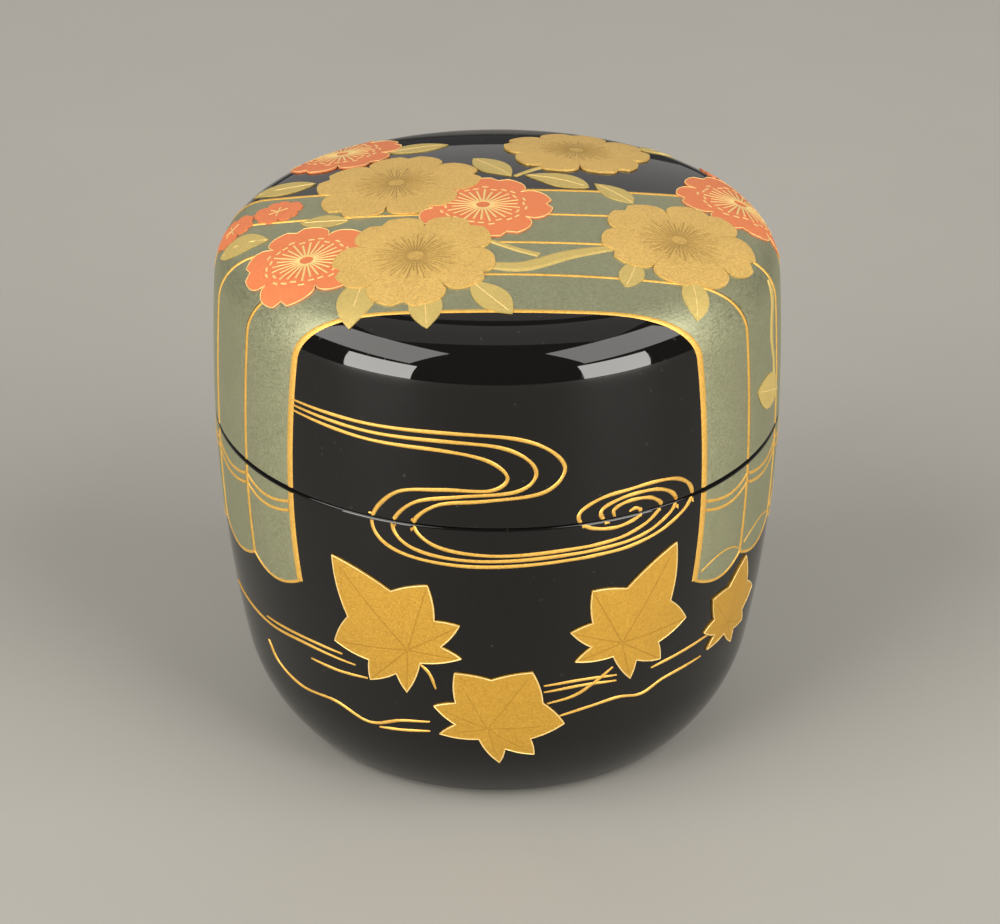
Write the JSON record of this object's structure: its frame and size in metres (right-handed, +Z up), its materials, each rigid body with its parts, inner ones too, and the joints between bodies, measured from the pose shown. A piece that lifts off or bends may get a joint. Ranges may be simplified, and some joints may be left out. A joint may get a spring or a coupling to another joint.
{
  "type": "lacquered tea caddy",
  "caption": "Small round lacquered wooden caddy for powdered tea, with a lift-off lid on a collar and raised gold, silver and vermilion decoration of a bamboo raft, stream, leaves and flowers.",
  "frame": {"origin": "centre of the ring that the caddy stands on, on the standing surface", "axes": "+Z up along the turning axis, -Y towards the decorated front, +X to the right of it"},
  "size_m": [0.0664, 0.0664, 0.0657],
  "materials": {
    "turned_wood": "turned and sealed, hidden under the lacquer",
    "black_lacquer": "polished to a mirror gloss",
    "inner_lacquer": "brushed gloss, unpolished",
    "gold_powder": "sprinkled gold powder, burnished",
    "silver_powder": "sprinkled silver powder, tarnished to grey green, satin",
    "vermilion_powder": "vermilion lacquer powder, satin",
    "olive_gold_powder": "sprinkled greenish gold powder, satin"
  },
  "bodies": {
    "body": {"body_core": "turned_wood", "body_outer_coat": "black_lacquer", "underside_coat": "black_lacquer", "body_inner_coat": "inner_lacquer", "body_raft_culms": "silver_powder", "body_raft_lines": "gold_powder", "body_raft_nodes": "gold_powder", "body_stream_lines": "gold_powder", "body_water_lines": "gold_powder", "maple_leaves": "gold_powder"},
    "lid": {"lid_core": "turned_wood", "lid_outer_coat": "black_lacquer", "lid_inner_coat": "inner_lacquer", "lid_raft_culms": "silver_powder", "lid_raft_lines": "gold_powder", "lid_stream_lines": "gold_powder", "lid_gold_blossoms": "gold_powder", "lid_red_blossoms": "vermilion_powder", "lid_red_buds": "vermilion_powder", "lid_leaves": "olive_gold_powder", "lid_branches": "olive_gold_powder"}
  },
  "joints": [
    {"name": "lid_lift", "type": "slide", "parent": "body", "child": "lid", "axis": [0, 0, 1], "range_m": [0, 0.05]}
  ]
}
